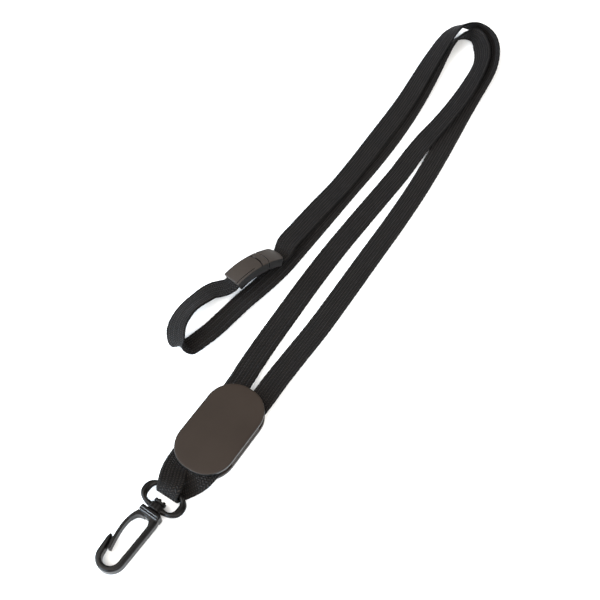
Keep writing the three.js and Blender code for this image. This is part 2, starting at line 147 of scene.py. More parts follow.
def noise(nodes, links, vector, scale, detail, roughness):
    node = nodes.new("ShaderNodeTexNoise")
    node.inputs["Scale"].default_value = scale
    node.inputs["Detail"].default_value = detail
    node.inputs["Roughness"].default_value = roughness
    links.new(vector, node.inputs["Vector"])
    return node.outputs["Fac"]


def bump(nodes, links, height, distance, strength, normal=None):
    node = nodes.new("ShaderNodeBump")
    node.inputs["Distance"].default_value = distance
    node.inputs["Strength"].default_value = strength
    links.new(height, node.inputs["Height"])
    if normal is not None:
        links.new(normal, node.inputs["Normal"])
    return node.outputs["Normal"]


def braid_material():
    """Flat tubular braid: lengthwise ribs of slanted stitches, which lean the other way in the next rib."""
    material, nodes, links, shader = new_material("braided_polyester")
    uv = nodes.new("ShaderNodeUVMap")
    uv.uv_map = "braid"
    split = nodes.new("ShaderNodeSeparateXYZ")
    links.new(uv.outputs[0], split.inputs[0])
    across, along = split.outputs[0], split.outputs[1]

    ribs = math_node(nodes, links, "MULTIPLY", across, float(STRAP["ribs"]))
    rib_number = math_node(nodes, links, "FLOOR", ribs)
    in_rib = math_node(nodes, links, "SUBTRACT", math_node(nodes, links, "SUBTRACT", ribs, rib_number), 0.5)
    odd = math_node(nodes, links, "MODULO", rib_number, 2.0)
    lean = math_node(nodes, links, "SUBTRACT", math_node(nodes, links, "MULTIPLY", odd, 2.0), 1.0)
    slant = math_node(nodes, links, "MULTIPLY", math_node(nodes, links, "MULTIPLY", in_rib, lean), 4.4)
    offset = math_node(nodes, links, "MULTIPLY", rib_number, 2.3)
    phase = math_node(nodes, links, "ADD", math_node(nodes, links, "MULTIPLY", along, 7.4), slant)
    phase = math_node(nodes, links, "ADD", phase, offset)
    stitch = math_node(nodes, links, "SINE", phase)
    stitch = math_node(nodes, links, "ADD", math_node(nodes, links, "MULTIPLY", stitch, 0.5), 0.5)
    crown = math_node(nodes, links, "MULTIPLY", in_rib, in_rib)
    crown = math_node(nodes, links, "SUBTRACT", 1.0, math_node(nodes, links, "MULTIPLY", crown, 4.0))
    stitch = math_node(nodes, links, "POWER", stitch, 1.4)
    height = math_node(nodes, links, "MULTIPLY", math_node(nodes, links, "POWER", crown, 1.1), stitch)

    stretched = nodes.new("ShaderNodeCombineXYZ")
    links.new(math_node(nodes, links, "MULTIPLY", across, 60.0), stretched.inputs[0])
    links.new(math_node(nodes, links, "MULTIPLY", along, 3.0), stretched.inputs[1])
    fibres = noise(nodes, links, stretched.outputs[0], 1.0, 4.0, 0.7)
    patch_place = nodes.new("ShaderNodeCombineXYZ")
    links.new(math_node(nodes, links, "MULTIPLY", across, 5.0), patch_place.inputs[0])
    links.new(math_node(nodes, links, "MULTIPLY", along, 0.12), patch_place.inputs[1])
    patches = noise(nodes, links, patch_place.outputs[0], 1.0, 2.0, 0.5)

    # painted highlight and painted shade: the stitch crowns are painted lighter and the hollows between them darker;
    # the fibre and patch noise is the yarn's own uneven tone
    lit = math_node(nodes, links, "MULTIPLY", height, math_node(nodes, links, "ADD", fibres, 0.35))
    lit = math_node(nodes, links, "MULTIPLY", lit, math_node(nodes, links, "ADD", patches, 0.5))
    color = ramp(nodes, links, lit, [(0.0, (0.0008, 0.0006, 0.0005)), (0.35, (0.0030, 0.0021, 0.0016)),
                                     (1.0, (0.022, 0.0165, 0.0127))])
    links.new(color, shader.inputs["Base Color"])
    rough = math_node(nodes, links, "MULTIPLY", lit, 0.5)
    links.new(math_node(nodes, links, "SUBTRACT", 0.74, rough), shader.inputs["Roughness"])
    shader.inputs["Specular IOR Level"].default_value = 0.12
    shader.inputs["Sheen Weight"].default_value = 0.01
    shader.inputs["Sheen Roughness"].default_value = 0.45
    shader.inputs["Sheen Tint"].default_value = (0.75, 0.82, 1.0, 1.0)
    woven = bump(nodes, links, height, 0.0003, 1.0)
    links.new(bump(nodes, links, fibres, 0.00005, 0.5, woven), shader.inputs["Normal"])
    return material


TONE_SPREAD = 0.12        # how far the plastic's tone wanders to either side


def plastic_material(name, color, roughness, grain, specular):
    """Moulded plastic with a fine spark-eroded grain and faint flow marks."""
    material, nodes, links, shader = new_material(name)
    place = nodes.new("ShaderNodeTexCoord").outputs["Object"]
    fine = noise(nodes, links, place, 9000.0, 2.0, 0.6)
    broad = noise(nodes, links, place, 55.0, 3.0, 0.5)
    low = tuple(value * (1.0 - TONE_SPREAD) for value in color)
    high = tuple(value * (1.0 + TONE_SPREAD) for value in color)
    mixed = math_node(nodes, links, "ADD", math_node(nodes, links, "MULTIPLY", fine, 0.35),
                      math_node(nodes, links, "MULTIPLY", broad, 0.65))
    links.new(ramp(nodes, links, mixed, [(0.3, low), (0.7, high)]), shader.inputs["Base Color"])
    rough = math_node(nodes, links, "MULTIPLY", mixed, 0.12)
    links.new(math_node(nodes, links, "ADD", rough, roughness - 0.06), shader.inputs["Roughness"])
    shader.inputs["Specular IOR Level"].default_value = specular
    if grain > 0:
        links.new(bump(nodes, links, fine, 0.00002, grain), shader.inputs["Normal"])
    return material


BRAID = braid_material()
PLATE_SATIN = plastic_material("plate_satin", (0.0185, 0.0130, 0.0098), 0.48, 0.35, 0.12)
CLASP_SATIN = plastic_material("clasp_satin", (0.0255, 0.0200, 0.0165), 0.42, 0.3, 0.16)
# painted shade: this darker black stands in for the shade on the plate's walls and the clasp's sides and ends; its
# lower roughness is the real gloss
WALL_SHADE_BLACK = plastic_material("painted_wall_shade", (0.0062, 0.0058, 0.0058), 0.3, 0.12, 0.24)
# painted shade: near-black painted into the clasp's grooves, where shade falls
GROOVE_SHADE_BLACK = plastic_material("painted_groove_shade", (0.0012, 0.0011, 0.0010), 0.8, 0.0, 0.05)
HOOK_BLACK = plastic_material("hook_black", (0.0032, 0.0027, 0.0024), 0.25, 0.1, 0.13)
# painted highlight: the collar ribs are painted lighter and bluish to stand for the light lines they catch; their
# gloss is real
RIB_HIGHLIGHT = plastic_material("painted_rib_highlight", (0.012, 0.0125, 0.013), 0.22, 0.0, 0.6)
GATE_BLACK = plastic_material("gate_black", (0.0038, 0.0032, 0.0028), 0.3, 0.1, 0.13)


# ---------------------------------------------------------------- mesh helpers
def mesh_object(name, points, faces, material, place=Matrix.Identity(4), smooth_angle=None):
    """A mesh from points in millimetres, given in the group frame place."""
    mesh = bpy.data.meshes.new(name)
    moved = [tuple((place @ Vector(point)) * MM) for point in points]
    mesh.from_pydata(moved, [], faces)
    mesh.update()
    mesh.materials.append(material)
    obj = bpy.data.objects.new(name, mesh)
    bpy.context.collection.objects.link(obj)
    shade(obj, smooth_angle)
    return obj


def shade(obj, smooth_angle=None):
    for polygon in obj.data.polygons:
        polygon.use_smooth = True
    if smooth_angle is not None:
        obj.data.set_sharp_from_angle(angle=math.radians(smooth_angle))


def apply_modifiers(obj):
    bpy.context.view_layer.objects.active = obj
    for modifier in list(obj.modifiers):
        bpy.ops.object.modifier_apply(modifier=modifier.name)


def cut(obj, tool, operation="DIFFERENCE"):
    """Boolean obj with tool, and throw the tool away."""
    modifier = obj.modifiers.new("cut", "BOOLEAN")
    modifier.operation = operation
    modifier.solver = "EXACT"
    modifier.object = tool
    apply_modifiers(obj)
    bpy.data.objects.remove(tool, do_unlink=True)


def moulded(obj, voxel, passes):
    """Rounds every edge of a closed mesh as moulding does, by remeshing and relaxing it."""
    remesh = obj.modifiers.new("skin", "REMESH")
    remesh.mode = "VOXEL"
    remesh.voxel_size = voxel * MM
    relax = obj.modifiers.new("relax", "SMOOTH")
    relax.factor = 0.5
    relax.iterations = passes
    apply_modifiers(obj)
    shade(obj)


def join(name, *objects):
    """One object from several, keeping the first one's material."""
    points = []
    faces = []
    for obj in objects:
        start = len(points)
        points += [tuple(vertex.co) for vertex in obj.data.vertices]
        faces += [tuple(start + index for index in polygon.vertices) for polygon in obj.data.polygons]
    mesh = bpy.data.meshes.new(name)
    mesh.from_pydata(points, [], faces)
    mesh.update()
    mesh.materials.append(objects[0].data.materials[0])
    for obj in objects:
        bpy.data.objects.remove(obj, do_unlink=True)
    joined = bpy.data.objects.new(name, mesh)
    bpy.context.collection.objects.link(joined)
    shade(joined)
    return joined


def loop_faces(rings, around, closed=False):
    """Faces over rings of points that each go once around, with end caps unless the rings close on themselves."""
    faces = []
    for ring in range(rings if closed else rings - 1):
        following = (ring + 1) % rings
        for i in range(around):
            j = (i + 1) % around
            here, there = ring * around, following * around
            faces.append((here + i, here + j, there + j, there + i))
    if not closed:
        faces.append(tuple(reversed(range(around))))
        faces.append(tuple(range((rings - 1) * around, rings * around)))
    return faces


def prism(name, outline, low, high, material, place):
    """An upright slab over an outline that goes anticlockwise."""
    points = [(x, y, low) for x, y in outline] + [(x, y, high) for x, y in outline]
    return mesh_object(name, points, loop_faces(2, len(outline)), material, place)


def box(name, low, high, material, place):
    outline = [(low[0], low[1]), (high[0], low[1]), (high[0], high[1]), (low[0], high[1])]
    return prism(name, outline, low[2], high[2], material, place)


def lathe_y(name, profile, around, material, place):
    """A turned piece about the Y axis from (radius, y) pairs."""
    points = []
    for radius, y in profile:
        for i in range(around):
            angle = 2 * math.pi * i / around
            points.append((radius * math.sin(angle), y, radius * math.cos(angle)))
    return mesh_object(name, points, loop_faces(len(profile), around), material, place)


def rounded_rect(half_x, half_y, radius, corner_steps, side_steps=1):
    """An anticlockwise outline, with the same number of points whatever its size."""
    arcs = []
    for sx, sy, start in [(1, -1, -90), (1, 1, 0), (-1, 1, 90), (-1, -1, 180)]:
        turns = [math.radians(start + 90 * i / corner_steps) for i in range(corner_steps + 1)]
        centre_x, centre_y = sx * (half_x - radius), sy * (half_y - radius)
        arcs.append([(centre_x + radius * math.cos(turn), centre_y + radius * math.sin(turn)) for turn in turns])
    points = []
    for arc, following in zip(arcs, arcs[1:] + arcs[:1]):
        points += arc
        (x, y), (next_x, next_y) = arc[-1], following[0]
        for k in range(1, side_steps):
            points.append((x + (next_x - x) * k / side_steps, y + (next_y - y) * k / side_steps))
    return points


# ---------------------------------------------------------------- the strap
def clasp_row(degrees):
    """The strap's row inside the arched clasp, at an angle from the clasp's middle."""
    angle = math.radians(degrees)
    r = ARC["strap"]
    point = CLASP_FRAME @ Vector((0.0, r * math.sin(angle), r * math.cos(angle) - r))
    across = CLASP_FRAME.to_3x3() @ Vector((1.0, 0.0, 0.0))
    return (*point, *across)


LIE = STRAP["lie"]
MID = STRAP["mid"]
# Each row of a route is a point of the strap's middle line and the direction across it.
CLASP_LOOP = [
    clasp_row(-9), clasp_row(-14), clasp_row(-19), clasp_row(-25),
    (-42.9, 53, 3.5, 0.94, -0.1, 0.2), (-44.3, 46.3, 4.6, 0.95, 0.1, 0.27),
    (-44.9, 40, 5.8, 0.92, 0.15, 0.38), (-44.3, 34, 6.7, 0.9, 0.12, 0.42), (-42.9, 28.6, 6.8, 0.9, 0.08, 0.42),
    (-41.3, 25.6, 6.1, 0.93, 0.02, 0.38), (-39.4, 23.5, 4.7, 0.95, 0, 0.33), (-37.2, 22.8, 3.1, 0.97, -0.08, 0.25),
    (-35.2, 24.0, 2.1, 0.98, -0.08, 0.2), (-33.9, 27.2, 1.8, 0.98, 0, 0.19), (-32.8, 31.5, 1.8, 0.98, 0, 0.19),
]
NECK_INNER = [
    (-31.6, 36.4, 1.8, 0.98, 0, 0.19), (-30.3, 46, 1.8, 0.98, 0, 0.18),
    (-29.1, 56, 1.7, 0.98, 0, 0.17), (-27.1, 68, 1.5, 0.99, 0, 0.14), (-25.9, 80, 1.1, 1, 0, 0.06),
    (-25.6, 96, LIE, *FLAT), (-25.2, 116, LIE, *FLAT), (-24.9, 136, LIE, *FLAT), (-24.4, 156, LIE, *FLAT),
    (-24.6, 176, LIE, *FLAT), (-25.8, 196, LIE, *FLAT), (-27.4, 214, 1.5, 0.98, 0, 0.15),
    (-29.2, 230, 2.4, 0.93, 0, 0.35), (-31.1, 244, 3.1, 0.85, 0, 0.5), (-31.5, 254.5, 3.7, 0.7, -0.2, 0.68),
    (-30.2, 261.2, 4.2, 0.5, -0.4, 0.77), (-27.8, 265.4, 4.5, 0.3, -0.4, 0.85), (-24.6, 267.2, 4.7, 0.3, -0.15, 0.9),
    (-20.8, 266.3, 4.8, 0.44, 0.07, 0.83), (-17.0, 262.7, 4.8, 0.6, 0.15, 0.78), (-13.7, 258.2, 4.6, 0.72, 0.2, 0.7),
    (-11.3, 253, 4.3, 0.8, 0.12, 0.66), (-9.8, 246.6, 3.9, 0.82, 0, 0.56), (-8.7, 238, 3.5, 0.88, 0, 0.46),
    (-7.9, 227, 3.1, 0.93, 0, 0.36), (-7.6, 214, 2.9, 0.95, 0, 0.3), (-8.0, 201, 2.7, 0.96, 0, 0.25),
    (-9.0, 188, 2.1, 0.98, 0, 0.15), (-9.4, 175, 1.2, 1, 0, 0.05), (-9.2, 160, LIE, *FLAT), (-9.6, 144, LIE, *FLAT),
    (-10.2, 124, LIE, *FLAT), (-10.6, 102, LIE, *FLAT), (-10.3, 82, LIE, *FLAT), (-9.5, 62, LIE, *FLAT),
    (-8.6, 44, 1, *FLAT), (-7.4, 31, 1.9, *FLAT), (-6.2, 22, 2.9, *FLAT), (-CHANNEL_X, 14, MID, *FLAT),
    (-CHANNEL_X, HALF_GAP, MID, *FLAT),
]
NECK_OUTER = [
    (CHANNEL_X, HALF_GAP, MID, *FLAT), (CHANNEL_X, 14, MID, *FLAT), (5.9, 22, 2.9, *FLAT),
    (5.4, 31, 1.9, *FLAT), (5.3, 44, 1, *FLAT), (5.7, 62, LIE, *FLAT), (5.4, 84, LIE, *FLAT),
    (4.8, 108, LIE, *FLAT), (4.3, 132, LIE, *FLAT), (3.2, 155, LIE, *FLAT), (1.2, 178, LIE, *FLAT),
    (-0.8, 196, LIE, *FLAT), (-2.8, 213, 0.8, 1, 0, 0.02), (-4.0, 227, 1.3, 0.99, 0, 0.12),
    (-4.4, 238, 2.2, 0.94, 0.08, 0.32), (-4.9, 247, 3.2, 0.84, 0.15, 0.5), (-6.6, 255, 4.1, 0.68, 0.25, 0.68),
    (-9.6, 262.3, 4.7, 0.48, 0.3, 0.8), (-13.6, 268, 5.0, 0.28, 0.25, 0.92), (-18.4, 271.4, 5.3, 0.1, 0.1, 0.97),
    (-23.6, 272.6, 5.9, 0.05, -0.15, 0.96), (-28.4, 271.4, 6.9, 0.2, -0.5, 0.8), (-32.0, 267.8, 7.5, 0.5, -0.55, 0.62),
    (-33.9, 261.8, 7.2, 0.76, -0.35, 0.5), (-34.3, 254.5, 6.4, 0.88, -0.12, 0.42), (-34.0, 246, 5.5, 0.92, 0.05, 0.36),
    (-33.2, 235, 4.8, 0.94, 0.08, 0.28), (-31.9, 222, 4.0, 0.97, 0, 0.2), (-30.5, 208, 3.2, 0.99, 0, 0.1),
    (-29.6, 192, 2.7, 1, 0, 0.04), (-29.0, 174, 2.6, 1, 0, 0.03), (-28.3, 154, 2.6, 1, 0, 0.03),
    (-28.2, 136, 2.6, 1, 0, 0.03), (-29.3, 118, 2.7, 1, 0, 0.03), (-29.8, 104, 3.0, 1, 0, 0.04),
    (-29.9, 94, 3.6, 0.99, -0.12, 0.08), clasp_row(23), clasp_row(17.5), clasp_row(12),
]
BAR = (-1.05, -30.55, 3.116)
HOOK_LOOP = [
    (-CHANNEL_X, -HALF_GAP, MID, *FLAT), (-CHANNEL_X, -15, MID, *FLAT), (-5.5, -21, 3.1, *FLAT),
    (-4.4, -24.4, 3.9, *FLAT), (-2.7, -27.6, 5.2, *FLAT),
    *[(BAR[0] - 0.3 * math.sin(math.radians(a)), BAR[1] - WRAP * math.cos(math.radians(a)),
       BAR[2] + WRAP * math.sin(math.radians(a)), *FLAT) for a in (80, 54, 27, 0, -27, -54, -80)],
    (1.2, -27.2, LIE + 0.2, *FLAT), (3.2, -24.2, 1.8, *FLAT), (5.2, -21, 2.9, *FLAT),
    (CHANNEL_X, -15, MID, *FLAT), (CHANNEL_X, -HALF_GAP, MID, *FLAT),
]


def with_widths(rows, widths):
    """The route's rows with the strap's width at each, which is the full one where widths has no entry."""
    return np.array([(*row, widths.get(i, STRAP["width"])) for i, row in enumerate(rows)])


def smooth_route(table):
    """Evenly spaced cross-sections on a smooth line through the rows: place, across, face normal and width."""
    knots = np.concatenate([[0.0], np.cumsum(np.linalg.norm(np.diff(table[:, :3], axis=0), axis=1))])
    slopes = np.gradient(table, knots, axis=0)
    dense = []
    for i in range(len(table) - 1):
        span = knots[i + 1] - knots[i]
        for u in np.linspace(0, 1, max(int(span / 0.2), 3), endpoint=False):
            dense.append((2 * u**3 - 3 * u**2 + 1) * table[i] + (u**3 - 2 * u**2 + u) * span * slopes[i]
                         + (3 * u**2 - 2 * u**3) * table[i + 1] + (u**3 - u**2) * span * slopes[i + 1])
    dense = np.array(dense + [table[-1]])
    length = np.concatenate([[0.0], np.cumsum(np.linalg.norm(np.diff(dense[:, :3], axis=0), axis=1))])
    stations = np.linspace(0, length[-1], int(length[-1] / STATION) + 1)
    rows = np.stack([np.interp(stations, length, dense[:, k]) for k in range(7)], axis=1)
    tangent = np.gradient(rows[:, :3], stations, axis=0)
    tangent /= np.linalg.norm(tangent, axis=1)[:, None]
    across = rows[:, 3:6]
    across = across - (across * tangent).sum(1)[:, None] * tangent
    across /= np.linalg.norm(across, axis=1)[:, None]
    normal = np.cross(tangent, across)
    lowest = np.abs(across[:, 2]) * rows[:, 6] / 2 + np.abs(normal[:, 2]) * STRAP["thick"] / 2 + TABLE_GAP
    rows[:, 2] = np.maximum(rows[:, 2], lowest)
    return {"s": stations, "place": rows[:, :3], "across": across, "normal": normal, "width": rows[:, 6]}


def braid_section():
    """The strap's section as (across, out of the face, u): ribs on both faces and soft round edges."""
    half = STRAP["width"] / 2
    flat = STRAP["thick"] / 2
    across = np.linspace(-1, 1, 37)
    rib = np.abs(np.sin((across + 1) / 2 * math.pi * STRAP["ribs"])) ** 0.55
    edge = np.clip((1 - np.abs(across)) * half / 0.55, 0, 1)
    height = flat * np.sqrt(1 - (1 - edge) ** 2 * 0.62) - STRAP["rib_depth"] * (1 - rib)
    side = [(half + 0.06, 0.22), (half + 0.1, 0.0), (half + 0.06, -0.22)]
    section = [(x * half, h, (x + 1) / 2) for x, h in zip(across, height)]
    section += [(x, y, 1.0) for x, y in side]
    section += [(x * half, -h, (x + 1) / 2) for x, h in zip(across[::-1], height[::-1])]
    section += [(-x, -y, 0.0) for x, y in side]
    return section


PATH_STEP = 6             # every sixth cross-section is a point of the cord's path


def braid(name, route, first, last):
    """The strap from one station to another."""
    section = np.array(braid_section())
    s = route["s"][first:last + 1]
    scale = (route["width"][first:last + 1] / STRAP["width"])[:, None, None]
    # the edges wander slightly, and the corners rise and fall with the stitches
    wave = 1 + 0.006 * np.sin(s * 2 * math.pi / 2.7) + 0.004 * np.sin(s * 2 * math.pi / 7.3 + 1.0)
    ripple = 0.035 * np.sin(s * 2 * math.pi / 3.1)
    across = section[None, :, 0, None] * wave[:, None, None] * scale
    proud = section[None, :, 1, None] + ripple[:, None, None] * (np.abs(section[None, :, 0, None]) / 5) ** 3
    points = (route["place"][first:last + 1][:, None] + across * route["across"][first:last + 1][:, None]
              + proud * route["normal"][first:last + 1][:, None])
    around = len(section)
    obj = mesh_object(name, points.reshape(-1, 3), loop_faces(len(s), around), BRAID)
    layer = obj.data.uv_layers.new(name="braid")
    place = np.zeros((len(obj.data.loops), 2), np.float32)
    vertex = np.zeros(len(obj.data.loops), np.int32)
    obj.data.loops.foreach_get("vertex_index", vertex)
    place[:, 0] = section[vertex % around, 2]
    place[:, 1] = s[vertex // around]
    layer.data.foreach_set("uv", place.ravel())
    path = route["place"][first:last + 1:PATH_STEP] * MM
    if (last - first) % PATH_STEP:
        path = np.vstack([path, route["place"][last] * MM])
    return obj


def station_near(route, place):
    return int(np.argmin(np.linalg.norm(route["place"] - np.array(place), axis=1)))


inner_route = smooth_route(with_widths(CLASP_LOOP + NECK_INNER, {0: NECKED, 1: NECKED, 2: NECKED, 3: ENTRY}))
last_row = len(NECK_OUTER) - 1
outer_widths = {last_row - 2: ENTRY, last_row - 1: NECKED, last_row: NECKED}
outer_route = smooth_route(with_widths(NECK_OUTER, outer_widths))
hook_route = smooth_route(with_widths(HOOK_LOOP, {row: WRAP_WIDTH for row in range(5, 12)}))
loop_end = station_near(inner_route, CLASP_LOOP[-1][:3])
run_end = station_near(inner_route, (-25.6, 96, LIE))

small_loop = braid("braid_small_loop", inner_route, 0, loop_end)
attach(small_loop, "clasp_half")
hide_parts("strap_clasp_loop")

lower_run = braid("braid_lower_run", inner_route, loop_end, run_end)
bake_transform(lower_run)

neck_inner = braid("braid_neck_inner", inner_route, run_end, len(inner_route["s"]) - 1)
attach(neck_inner, "neck")
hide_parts("strap_neck_inner")

neck_outer = braid("braid_neck_outer", outer_route, 0, len(outer_route["s"]) - 1)
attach(neck_outer, "neck")
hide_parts("strap_neck_outer")

hook_loop = braid("braid_hook_loop", hook_route, 0, len(hook_route["s"]) - 1)
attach(hook_loop, "neck")
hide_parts("strap_hook_loop")


# ---------------------------------------------------------------- the plate
def rounded_slab(name, half_x, half_y, corner, low, high, edge, material, crown=0.0):
    """A flat moulded slab: its edges are quarter rounds, and its top may be very slightly crowned."""
    profile = []
    for i in range(6):
        angle = math.radians(90 * i / 5)
        profile.append((edge * (1 - math.sin(angle)), low + edge * (1 - math.cos(angle))))
    profile += [(inset, low + high - z) for inset, z in reversed(profile)]
    rings = [(4.0, low), (1.2, low)] + profile
    rings += [(1.2, high + crown * 0.3), (4.0, high + crown * 0.7), (8.0, high + crown)]
    points = []
    for inset, z in rings:
        outline = rounded_rect(half_x - inset, half_y - inset, max(corner - inset, 1.0), 16, 10)
        points += [(x, y, z) for x, y in outline]
    around = len(outline)
    return mesh_object(name, points, loop_faces(len(rings), around), material)


def paint_wall_shade(slab):
    """Painted shade on the slab's upright walls: a darker black there, polished to a gloss."""
    slab.data.materials.append(WALL_SHADE_BLACK)
    for face in slab.data.polygons:
        if abs(face.normal.z) < 0.5:
            face.material_index = 1


half_x, half_y = PLATE["width"] / 2, PLATE["length"] / 2
face_low, face_high = PLATE["height"] - PLATE["front"], PLATE["height"] - 0.02
plate_face = rounded_slab("plate_face_shell", half_x, half_y, PLATE["corner"], face_low, face_high, PLATE["edge"],
                          PLATE_SATIN, crown=0.1)
paint_wall_shade(plate_face)
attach(plate_face, "neck")
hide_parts("plate_front")

plate_rear = rounded_slab("plate_rear_shell", half_x, half_y, PLATE["corner"], 0.0, PLATE["back"], PLATE["edge"],
                          PLATE_SATIN)
paint_wall_shade(plate_rear)
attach(plate_rear, "neck")
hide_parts("plate_back")

UNTURNED = Matrix.Identity(4)
wall_top = RAIL["high"] + 0.4
walls = [box("wall", (-DIVIDER["width"] / 2, -DIVIDER["reach"], RAIL["low"]),
             (DIVIDER["width"] / 2, DIVIDER["reach"], wall_top), PLATE_SATIN, UNTURNED)]
for side in (-1, 1):
    near, far = sorted((side * RAIL["inner"], side * RAIL["outer"]))
    walls.append(box("wall", (near, -RAIL["reach"], RAIL["low"]), (far, RAIL["reach"], wall_top), PLATE_SATIN,
                     UNTURNED))
plate_walls = join("plate_inner_walls", *walls)
bevel = plate_walls.modifiers.new("bevel", "BEVEL")
bevel.width = 0.00015
bevel.segments = 2
apply_modifiers(plate_walls)
shade(plate_walls, 40)
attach(plate_walls, "neck")


# ---------------------------------------------------------------- the swivel ring and the hook
def ring_mesh(name):
    """An oval eye of moulded bar with softened edges, and the hub that holds the swivel post."""
    count = 132
    section_points = 22
    outer, inner = [], []
    hole = rounded_rect(RING["inner_a"], RING["inner_b"], RING["corner"], 20, 24)
    for i in range(count):
        angle = 2 * math.pi * i / count
        c, s = math.cos(angle), math.sin(angle)
        x = RING["a"] * math.copysign(abs(c) ** (2 / RING["power"]), c)
        y = RING["b"] * math.copysign(abs(s) ** (2 / RING["power"]), s)
        outer.append((x, y))
        direction = math.atan2(y / RING["b"], x / RING["a"])
        inner.append(min(hole, key=lambda p: abs(math.remainder(
            math.atan2(p[1] / RING["inner_b"], p[0] / RING["inner_a"]) - direction, 2 * math.pi))))
    inner = np.array(inner)
    for _ in range(3):
        inner = (inner + (np.roll(inner, 1, 0) + np.roll(inner, -1, 0)) / 2) / 2
    points = []
    for (ox, oy), (ix, iy) in zip(outer, inner):
        middle = Vector(((ox + ix) / 2, (oy + iy) / 2, 0))
        out = Vector(((ox - ix) / 2, (oy - iy) / 2, 0))
        for k in range(section_points):
            turn = 2 * math.pi * k / section_points
            c, s = math.cos(turn), math.sin(turn)
            u = math.copysign(abs(c) ** RING["squareness"], c)
            w = math.copysign(abs(s) ** RING["squareness"], s) * RING["thick"] / 2
            points.append((middle.x + out.x * u, middle.y + out.y * u + RING["shift"], w))
    ring = mesh_object(name, points, loop_faces(count, section_points, closed=True), HOOK_BLACK, SWIVEL_FRAME)
    edge = 0.35
    radius, foot, top = HUB["radius"], HUB["foot"], HUB["top"]
    profile = [(0.01, foot), (radius - edge, foot), (radius - 0.1, foot + 0.1), (radius, foot + edge),
               (radius, top - edge), (radius - 0.1, top - 0.1), (radius - edge, top), (0.01, top)]
    hub = lathe_y("hub", profile, 56, HOOK_BLACK, SWIVEL_FRAME)
    cut(ring, hub, "UNION")
    bore = lathe_y("bore", [(HUB["bore"], foot - 1), (HUB["bore"], top + 1)], 48, HOOK_BLACK, SWIVEL_FRAME)
    cut(ring, bore)
    moulded(ring, 0.13, 8)
    return ring


ring = ring_mesh("swivel_eye")
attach(ring, "ring")
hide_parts("swivel_ring")


def curve_points(start, control, end, steps=10):
    """Points on a quadratic curve, without its start."""
    points = []
    for i in range(1, steps + 1):
        t = i / steps
        points.append(tuple((1 - t) ** 2 * a + 2 * t * (1 - t) * b + t**2 * c
                            for a, b, c in zip(start, control, end)))
    return points


def bend_point(radius, angle):
    return (HOOK["middle"] + radius * math.cos(angle), HOOK["bend"] + radius * math.sin(angle))


BEND_STEPS = 40


def hook_outline():
    right, foot = HOOK["right"], COLLAR["foot"]
    points = [(COLLAR["width"] / 2 - 0.5, foot + 1.8)]
    points += curve_points(points[-1], (right, foot), (right, foot - 2))
    points += [bend_point(HOOK["outer_r"], -math.pi * i / BEND_STEPS) for i in range(BEND_STEPS + 1)]
    points += NOSE
    points += [bend_point(HOOK["inner_r"], math.pi + math.pi * i / BEND_STEPS) for i in range(BEND_STEPS + 1)]
    points.append((HOOK["inner"], -12.6))
    points += curve_points(points[-1], (HOOK["inner"] - 0.2, -9.9), (0.2, -9.5))
    points += curve_points(points[-1], (-2.4, -9.4), (-3.7, -9.0))
    points.append((-3.7, foot + 1.8))
    return list(reversed(points))


half_thick = HOOK["thick"] / 2
body_half = half_thick - HOOK["step"]
hook_parts = [prism("hook_part", hook_outline(), -body_half, body_half, HOOK_BLACK, SWIVEL_FRAME)]
middle_y = (COLLAR["top"] + COLLAR["foot"]) / 2
collar_half = (COLLAR["top"] - COLLAR["foot"]) / 2
collar_outline = [(x, y + middle_y) for x, y in rounded_rect(COLLAR["width"] / 2, collar_half, 0.7, 5)]
hook_parts.append(prism("hook_part", collar_outline, -half_thick, half_thick, HOOK_BLACK, SWIVEL_FRAME))
hook_parts.append(lathe_y("hook_part", [(0.01, COLLAR["top"] - 0.8), (POST["radius"], COLLAR["top"] - 0.8),
                                        (POST["radius"], POST["crown_foot"] + 0.3), (0.01, POST["crown_foot"] + 0.3)],
                          40, HOOK_BLACK, SWIVEL_FRAME))
for part, round_off in zip(hook_parts, (0.95, 0.35)):
    bevel = part.modifiers.new("bevel", "BEVEL")
    bevel.width = round_off * MM
    bevel.segments = 4
    bevel.limit_method = "ANGLE"
    bevel.angle_limit = math.radians(60)
    bevel.use_clamp_overlap = False
    apply_modifiers(part)
hook = join("swivel_hook", *hook_parts)
moulded(hook, 0.14, 9)

# the collar's two fine raised ribs, each a rounded bar laid over the front and the back, painted lighter as a painted
# highlight
rib_parts = []
for at in COLLAR["ribs"]:
    for face in (-1, 1):
        reach = COLLAR["width"] / 2 - 0.45
        points = []
        for i in range(25):
            x = -reach + 2 * reach * i / 24
            fade = math.sqrt(max(1 - abs(x / reach) ** 8, 0.0)) * 0.9 + 0.1
            for k in range(12):
                turn = 2 * math.pi * k / 12
                proud = half_thick - 0.16 + 0.5 * fade * max(math.sin(turn), -0.1)
                points.append((x, at + 0.27 * math.cos(turn), face * proud))
        rib_parts.append(mesh_object("rib", points, loop_faces(25, 12), RIB_HIGHLIGHT, SWIVEL_FRAME))
collar_ribs = join("collar_ribs", *rib_parts)

